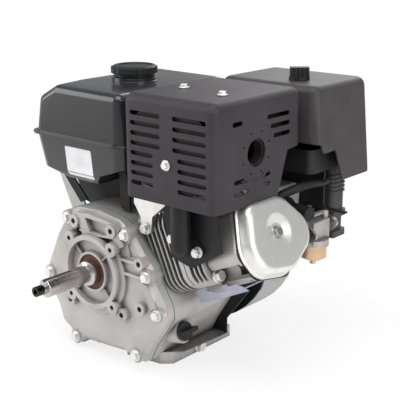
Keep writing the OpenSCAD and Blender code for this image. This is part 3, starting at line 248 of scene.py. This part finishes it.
# makes a mesh, built in millimetres, into a piece of the engine that rides on a body
def newPiece(name, bm, slot, body, replaced=(), smoothTo=38, scale=mm):
    bmesh.ops.scale(bm, vec=(scale, scale, scale), verts=bm.verts)
    mesh = bpy.data.meshes.new(name)
    bm.to_mesh(mesh)
    bm.free()
    mesh.materials.append(looks[slot])
    mesh.shade_smooth()
    mesh.set_sharp_from_angle(angle=math.radians(smoothTo))
    piece = bpy.data.objects.new(name, mesh)
    bpy.context.scene.collection.objects.link(piece)
    if body:
        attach(piece, body)
    if replaced:
        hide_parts(*replaced)
    return piece


# small rounded edges and even shading over large flats
def softenEdges(piece, width, segments=2, angle=50):
    if width:
        bevel = piece.modifiers.new("edges", "BEVEL")
        bevel.width = width * mm
        bevel.segments = segments
        bevel.limit_method = "ANGLE"
        bevel.angle_limit = math.radians(angle)
    even = piece.modifiers.new("shading", "WEIGHTED_NORMAL")
    even.keep_sharp = True


# a merged copy of a CAD node with smooth curves and softened edges, in the node's place
def refine(node, edge, slot=None):
    bm = bmesh.new()
    bm.from_mesh(nodes[node].data)
    bmesh.ops.remove_doubles(bm, verts=bm.verts, dist=0.01 * mm)
    bmesh.ops.dissolve_limit(bm, angle_limit=math.radians(0.5), verts=bm.verts, edges=bm.edges)
    softenEdges(newPiece(node + "Form", bm, slot or slotOf[node], bodyOf[node], [node], scale=1), edge)


# how far each casting's and pressing's edges are rounded, in millimetres
edgeRounding = {
    "crankcase": 1.2, "crankcase_cover": 1.0, "cylinder_head": 0.5, "muffler_bracket": 0.4,
    "muffler_guard": 0.5, "muffler": 0.6, "exhaust_pipe": 0, "exhaust_shield": 0.3,
    "tank_upper": 0.8, "tank_lower": 0.6, "fuel_cap": 0.5, "tank_mounts": 0.4,
    "air_cleaner_cover": 0.8, "air_cleaner_base": 0.8, "air_cleaner_knob": 0.6, "intake_elbow": 0.6,
    "carburetor_body": 0.5, "float_bowl": 0.5, "insulator": 0.3, "control_bracket": 0.3,
    "throttle_lever": 0.2, "choke_lever": 0.2, "fan_cover": 1.0, "back_plate": 0.3, "recoil_housing": 0.8,
    "recoil_grip": 0.5, "plug_boot": 0.5, "oil_filler_cap": 0.6, "engine_switch": 0.5, "switch_knob": 0.4,
    "lower_shield": 0.3, "governor_arm": 0.2, "breather_hose": 0, "head_bolts": 0.3, "flange_bolts": 0.3,
    "guard_screws": 0.3, "exhaust_nuts": 0.3, "drain_plugs": 0.3, "valve_cover_bolt": 0.3,
    "crankshaft": 0.2, "output_seal": 0.3,
}
# finishes that differ from the node's own
otherSlot = {
    "intake_elbow": "grey_plastic", "throttle_lever": "black_plastic",
    "choke_lever": "black_plastic", "valve_cover_bolt": "shaft_steel",
}
for node, edge in edgeRounding.items():
    refine(node, edge, otherSlot.get(node))
print("refined nodes:", len(edgeRounding))


# a flat outline made solid between two places along y or z, in millimetres
def plateShape(outline, low, high, axis="y"):
    bm = bmesh.new()
    corners = [(a, low, b) if axis == "y" else (a, b, low) for a, b in outline]
    face = bm.faces.new([bm.verts.new(corner) for corner in corners])
    grown = bmesh.ops.extrude_face_region(bm, geom=[face])["geom"]
    step = (0, high - low, 0) if axis == "y" else (0, 0, high - low)
    bmesh.ops.translate(bm, vec=step, verts=[g for g in grown if isinstance(g, bmesh.types.BMVert)])
    bmesh.ops.recalc_face_normals(bm, faces=bm.faces)
    return bm


# the edges of a shape that run along x, y or z
def edgesAlong(bm, axis):
    index = "xyz".index(axis)
    return [e for e in bm.edges if abs((e.verts[0].co - e.verts[1].co).normalized()[index]) > 0.9]


def roundCorners(bm, offset, axis="y"):
    bmesh.ops.bevel(bm, geom=edgesAlong(bm, axis), offset=offset, affect="EDGES", segments=4, profile=0.5,
                    material=-1)


# the rocker cover, a pressing; distances in millimetres
rocker = {
    "lean": 24,          # angle of the cylinder above horizontal
    "seat": 246.4,       # distance of the rim from the crank axis
    # the rim's corners, as distance along the shaft and height across the cylinder
    "outline": [(57.7, 28), (137.7, 28), (179.2, -19), (173.2, -51.3), (114.8, -81.7), (54.6, -71.3),
                (36.6, -35.3)],
    "cornerRadius": 14,
    "edge": 0.8,
    "smoothTo": 60,      # edges sharper than this many degrees stay sharp
    "boltPlace": (106, -22),
    # scale of each ring of the dome, its shift along the shaft and its height
    "rings": [(1.0, 0, 1.6), (0.965, 0, 1.8), (0.945, 0, 3.4), (0.935, 0, 8), (0.92, 0, 12.5),
              (0.90, 0, 15.6), (0.865, 0.5, 17.8), (0.82, 1, 19.2), (0.77, 1.5, 19.8), (0.4, 2, 20.0)],
    # half section of the dish round the bolt, as radius and depth below the top
    "dish": [(0, -5.2), (11.5, -5.2), (13.5, -4.7), (22, -0.9), (25, -0.2), (27, 0.6), (27, 6), (0, 6)],
    "dishSteps": 48,
}


# stands a shape drawn as shaft distance, height across and distance out on the cylinder's axis
def ontoCylinder(bm, out):
    lean = math.radians(rocker["lean"])
    across = Vector((-math.sin(lean), 0, math.cos(lean)))
    away = Vector((math.cos(lean), 0, math.sin(lean)))
    for vert in bm.verts:
        y, v, s = vert.co
        vert.co = away * (s + out) + across * v + Vector((0, y, 0))
    bmesh.ops.recalc_face_normals(bm, faces=bm.faces)


# a closed shape turned about z from its half section
def spunShape(profile, steps):
    bm = bmesh.new()
    verts = [bm.verts.new((radius, 0, height)) for radius, height in profile]
    edges = [bm.edges.new(pair) for pair in zip(verts, verts[1:])]
    bmesh.ops.spin(bm, geom=verts + edges, axis=(0, 0, 1), cent=(0, 0, 0), steps=steps,
                   angle=math.tau, use_merge=True)
    bmesh.ops.remove_doubles(bm, verts=bm.verts, dist=0.001)
    bmesh.ops.holes_fill(bm, edges=bm.edges, sides=0)
    bmesh.ops.recalc_face_normals(bm, faces=bm.faces)
    return bm


# cuts a shape, built in metres, out of a piece's own mesh
def cutOut(piece, shape):
    mesh = bpy.data.meshes.new("cutter")
    shape.to_mesh(mesh)
    shape.free()
    cutter = bpy.data.objects.new("cutter", mesh)
    bpy.context.scene.collection.objects.link(cutter)
    cut = piece.modifiers.new("cut", "BOOLEAN")
    cut.operation = "DIFFERENCE"
    cut.solver = "EXACT"
    cut.object = cutter
    graph = bpy.context.evaluated_depsgraph_get()
    uncut = piece.data
    piece.data = bpy.data.meshes.new_from_object(piece.evaluated_get(graph))
    piece.modifiers.clear()
    bpy.data.meshes.remove(uncut)
    bpy.data.objects.remove(cutter)


# raises the rim's outline ring by ring into the dome
def rockerDome():
    bm = bmesh.new()
    bm.faces.new([bm.verts.new((y, v, 0)) for y, v in rocker["outline"]])
    bmesh.ops.bevel(bm, geom=bm.verts[:], offset=rocker["cornerRadius"], affect="VERTICES",
                    segments=7, profile=0.5, material=-1)
    face = bm.faces[:][0]
    centre = face.calc_center_median()
    lastSize = 1.0
    lastShift = 0
    for size, shift, height in rocker["rings"]:
        grown = bmesh.ops.extrude_face_region(bm, geom=[face])["geom"]
        bmesh.ops.delete(bm, geom=[face], context="FACES_ONLY")
        face = next(g for g in grown if isinstance(g, bmesh.types.BMFace))
        for vert in face.verts:
            vert.co.x = centre.x + shift + (vert.co.x - centre.x - lastShift) * size / lastSize
            vert.co.y = centre.y + (vert.co.y - centre.y) * size / lastSize
            vert.co.z = height
        lastSize = size
        lastShift = shift
    ontoCylinder(bm, rocker["seat"])
    return bm


def makeRockerCover():
    smoothTo = rocker["smoothTo"]
    body = bodyOf["valve_cover"]
    piece = newPiece("rockerCoverPressing", rockerDome(), "zinc_steel", body, ["valve_cover"], smoothTo)
    dish = spunShape(rocker["dish"], rocker["dishSteps"])
    top = rocker["rings"][-1][2]
    bmesh.ops.translate(dish, vec=(*rocker["boltPlace"], top), verts=dish.verts)
    ontoCylinder(dish, rocker["seat"])
    bmesh.ops.scale(dish, vec=(mm, mm, mm), verts=dish.verts)
    cutOut(piece, dish)
    piece.data.shade_smooth()
    piece.data.set_sharp_from_angle(angle=math.radians(smoothTo))
    softenEdges(piece, rocker["edge"], 3, 30)


makeRockerCover()

# stays and sheets: outline across the two places each lies between, in millimetres
plates = {
    "tankStay": {
        "outline": [(-130, 124), (-104, 124), (-88, 100), (-67, 68), (-98, 58)],
        "between": (59, 62), "slot": "cast_aluminium", "corner": 1.5,
    },
    "tankSheet": {
        "outline": [(-140, 121), (-116, 84), (-105, 66), (-74, 58), (-33, 80), (14, 86), (4, 121)],
        "between": (92, 94), "slot": "black_paint",
    },
    "rearSheet": {
        "outline": [(84, -30), (160, -35), (117, -91), (117, -112), (76, -117), (70, -60)],
        "between": (162, 164.4), "slot": "black_paint", "corner": 1,
    },
    "footTop": {
        "outline": [(80, 84), (74, 146), (100, 180), (119, 163), (113, 72), (88, 52)],
        "between": (-113.9, -113.4), "slot": "cast_iron", "axis": "z", "corner": 3, "edge": 0.1,
    },
    "shieldLip": {
        "outline": [(171, 1), (171, -3), (187, -7), (199, -3), (244, 19), (237, 22), (223, 23), (208, 16),
                    (206, 10), (194, 3.5)],
        "between": (52.4, 54), "slot": "shield_lavender", "corner": 0.5, "edge": 0.2,
    },
    "shroudWing": {
        "outline": [(120, 56), (120, 170), (150, 182), (220, 182), (226, 168), (226, 62), (150, 56)],
        "between": (246, 249), "slot": "black_paint",
    },
}


def makePlate(name, outline, between, slot, axis="y", corner=2.0, edge=0.4):
    bm = plateShape(outline, *between, axis)
    roundCorners(bm, corner, axis)
    softenEdges(newPiece(name, bm, slot, "engine"), edge)


for name, plate in plates.items():
    makePlate(name, **plate)


shieldEnd = 206  # where the lower shield stops along x, in millimetres


# cuts away what a refined piece has beyond a place along x
def trimBeyond(piece, end):
    bm = bmesh.new()
    bm.from_mesh(piece.data)
    geometry = bm.verts[:] + bm.edges[:] + bm.faces[:]
    bmesh.ops.bisect_plane(bm, geom=geometry, plane_co=(end * mm, 0, 0), plane_no=(1, 0, 0), clear_outer=True)
    bmesh.ops.holes_fill(bm, edges=[e for e in bm.edges if e.is_boundary], sides=0)
    bm.to_mesh(piece.data)
    bm.free()


trimBeyond(bpy.data.objects["lower_shieldForm"], shieldEnd)

# the blank sticker, in millimetres
label = {
    "left": -64, "right": -10, "low": 128, "high": 171,
    "thick": 0.25,
    "corner": 2,
    "bend": 4,           # height between the lines that it bends along
    "glue": 0.05,        # gap between the tank and the film
}


# lays the sticker on the front of the tank
def makeLabel():
    tank = bpy.data.objects["tank_lowerForm"].data
    tree = BVHTree.FromPolygons([v.co for v in tank.vertices], [p.vertices for p in tank.polygons])
    corners = [(label["left"], label["low"]), (label["right"], label["low"]),
               (label["right"], label["high"]), (label["left"], label["high"])]
    bm = plateShape(corners, 0, label["thick"])
    roundCorners(bm, label["corner"])
    for height in range(label["low"] + label["bend"], label["high"], label["bend"]):
        geometry = bm.verts[:] + bm.edges[:] + bm.faces[:]
        bmesh.ops.bisect_plane(bm, geom=geometry, plane_co=(0, 0, height), plane_no=(0, 0, 1))
    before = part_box("tank_lower")[0].y - 100 * mm
    for vert in bm.verts:
        hit = tree.ray_cast(Vector((vert.co.x * mm, before, vert.co.z * mm)), Vector((0, 1, 0)))[0]
        vert.co.y += hit.y / mm - label["thick"] - label["glue"]
    piece = newPiece("tankLabel", bm, "ceramic_white", "engine")
    piece.data.materials[0] = looks["label_white"]


makeLabel()


# the ring pressed into the guard round the exhaust outlet, in millimetres
outletRing = {
    "bed": 0.6,          # how deep it stands in the guard's face
    # closed section, as height and radius
    "section": [(0, 34.0), (0.7, 34.6), (1.1, 35.6), (1.1, 36.8), (0.7, 37.8), (0, 38.4)],
    "steps": 64,
}


def makeOutletRing():
    bm = bmesh.new()
    mounts = frame["record"]["mounts"]
    outlet = next(mount for mount in mounts if mount["name"] == "exhaust_outlet")["pos_m"]
    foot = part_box("muffler_guard")[1].x / mm - outletRing["bed"]
    profile = [bm.verts.new((foot + height, radius, 0)) for height, radius in outletRing["section"]]
    edges = [bm.edges.new(pair) for pair in zip(profile, profile[1:] + profile[:1])]
    bmesh.ops.spin(bm, geom=profile + edges, axis=(1, 0, 0), cent=(0, 0, 0), steps=outletRing["steps"],
                   angle=math.tau, use_merge=True)
    bmesh.ops.recalc_face_normals(bm, faces=bm.faces)
    bmesh.ops.translate(bm, vec=(0, outlet[1] / mm, outlet[2] / mm), verts=bm.verts)
    newPiece("outletRing", bm, "guard_brown", "engine", smoothTo=60)


makeOutletRing()


# the starter rope, which is as thick and as long at rest as its node
rope = {
    "sides": 20,
    "cuts": 40,          # how many rings it can stretch between
    "gripEnd": 20,       # millimetres at the grip's end that stay as they are when it is pulled
}


def makeRope():
    low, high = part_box("recoil_rope")
    radius = 0.5 * (high.z - low.z) / mm
    middle = (low + high) / 2 / mm
    bm = bmesh.new()
    bmesh.ops.create_cone(bm, cap_ends=True, segments=rope["sides"], radius1=radius, radius2=radius,
                          depth=(high.x - low.x) / mm)
    bmesh.ops.rotate(bm, verts=bm.verts, matrix=Matrix.Rotation(math.radians(90), 3, "Y"))
    bmesh.ops.translate(bm, vec=middle, verts=bm.verts)
    bmesh.ops.subdivide_edges(bm, edges=edgesAlong(bm, "x"), cuts=rope["cuts"])
    piece = newPiece("starterRope", bm, "rope", None, ["recoil_rope"], 60)
    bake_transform(piece)


makeRope()
print("plates, label, ring and rope ready")


# camera, floor and lamps, in metres
studio = {
    "eye": (0.921, -0.813, 0.459),
    "forward": (-0.6333, 0.7221, -0.2784),
    "roll": -0.3,
    "lens": 82.6,
    "sensor": 36,        # width in millimetres, as the lens
    "floorSize": 60,
    "floorGap": 0.2 * mm,
    "paper": 0.88,       # grey of the floor
    "floorGlow": 0.8,    # share of white near the engine, which grows to 1 over the fade
    "fade": (0.35, 0.8),
    "mirrored": 0.5,     # share of white that glossy surfaces see in the floor
    "room": 0.34,        # strength of the light from all round
    "aim": (0.06, 0.14, 0.05),
    # place, size and power of each lamp
    "lamps": {
        "keyLamp": ((0.3, -0.4, 1.7), (1.6, 1.2), 26),
        "sideLamp": ((-1.5, -0.9, 0.8), (1.2, 1.4), 18),
        "rightLamp": ((1.8, -0.2, 0.7), (1.0, 1.4), 14),
        "backLamp": ((-0.4, 1.8, 1.2), (1.4, 1.0), 16),
    },
}


def makeFloor():
    mesh = bpy.data.meshes.new("floor")
    bm = bmesh.new()
    bmesh.ops.create_grid(bm, x_segments=1, y_segments=1, size=studio["floorSize"] / 2)
    bmesh.ops.translate(bm, verts=bm.verts, vec=(0, 0, cadBox[0].z - studio["floorGap"]))
    bm.to_mesh(mesh)
    bm.free()
    floor = bpy.data.objects.new("floor", mesh)
    bpy.context.scene.collection.objects.link(floor)
    look = Look("floorPaper")
    grey = studio["paper"]
    paper = look.add("BsdfDiffuse", inputs={"Color": (grey, grey, grey, 1)})
    white = look.add("Emission", inputs={"Color": (1, 1, 1, 1), "Strength": 1.0})
    isCamera = look.add("LightPath", output="Is Camera Ray")
    isGlossy = look.add("LightPath", output="Is Glossy Ray")
    distance = look.add("VectorMath", {"operation": "LENGTH"}, {0: look.place}, output="Value")
    glow = look.between(distance, *studio["fade"]) * (1 - studio["floorGlow"]) + studio["floorGlow"]
    whiteness = isCamera * glow + isGlossy * studio["mirrored"]
    seen = look.add("MixShader", inputs={0: whiteness, 1: paper, 2: white})
    look.add("OutputMaterial", inputs={"Surface": seen})
    mesh.materials.append(look.material)


def makeWorld():
    world = bpy.data.worlds.new("studioWorld")
    world.use_nodes = True
    tree = world.node_tree
    tree.nodes.clear()
    output = tree.nodes.new("ShaderNodeOutputWorld")
    room = tree.nodes.new("ShaderNodeBackground")
    room.inputs["Color"].default_value = (0.95, 0.97, 1.0, 1)
    room.inputs["Strength"].default_value = studio["room"]
    backdrop = tree.nodes.new("ShaderNodeBackground")
    backdrop.inputs["Color"].default_value = (1, 1, 1, 1)
    backdrop.inputs["Strength"].default_value = 1.0
    rays = tree.nodes.new("ShaderNodeLightPath")
    mixer = tree.nodes.new("ShaderNodeMixShader")
    tree.links.new(rays.outputs["Is Camera Ray"], mixer.inputs[0])
    tree.links.new(room.outputs[0], mixer.inputs[1])
    tree.links.new(backdrop.outputs[0], mixer.inputs[2])
    tree.links.new(mixer.outputs[0], output.inputs["Surface"])
    bpy.context.scene.world = world


def makeLamp(name, place, size, power):
    lamp = bpy.data.lights.new(name, "AREA")
    lamp.shape = "RECTANGLE"
    lamp.size, lamp.size_y = size
    lamp.energy = power
    lampObject = bpy.data.objects.new(name, lamp)
    bpy.context.scene.collection.objects.link(lampObject)
    lampObject.location = place
    lampObject.rotation_mode = "QUATERNION"
    lampObject.rotation_quaternion = (Vector(studio["aim"]) - Vector(place)).to_track_quat("-Z", "Y")


def makeCamera():
    camera = bpy.data.cameras.new("camera")
    camera.lens = studio["lens"]
    camera.sensor_width = studio["sensor"]
    cameraObject = bpy.data.objects.new("camera", camera)
    bpy.context.scene.collection.objects.link(cameraObject)
    cameraObject.location = studio["eye"]
    cameraObject.rotation_mode = "QUATERNION"
    turn = Vector(studio["forward"]).to_track_quat("-Z", "Y")
    roll = Matrix.Rotation(math.radians(studio["roll"]), 3, "Z").to_quaternion()
    cameraObject.rotation_quaternion = turn @ roll
    bpy.context.scene.camera = cameraObject


makeFloor()
makeWorld()
for name, (place, size, power) in studio["lamps"].items():
    makeLamp(name, place, size, power)
makeCamera()
bpy.context.scene.view_settings.view_transform = "Standard"
print("studio ready")
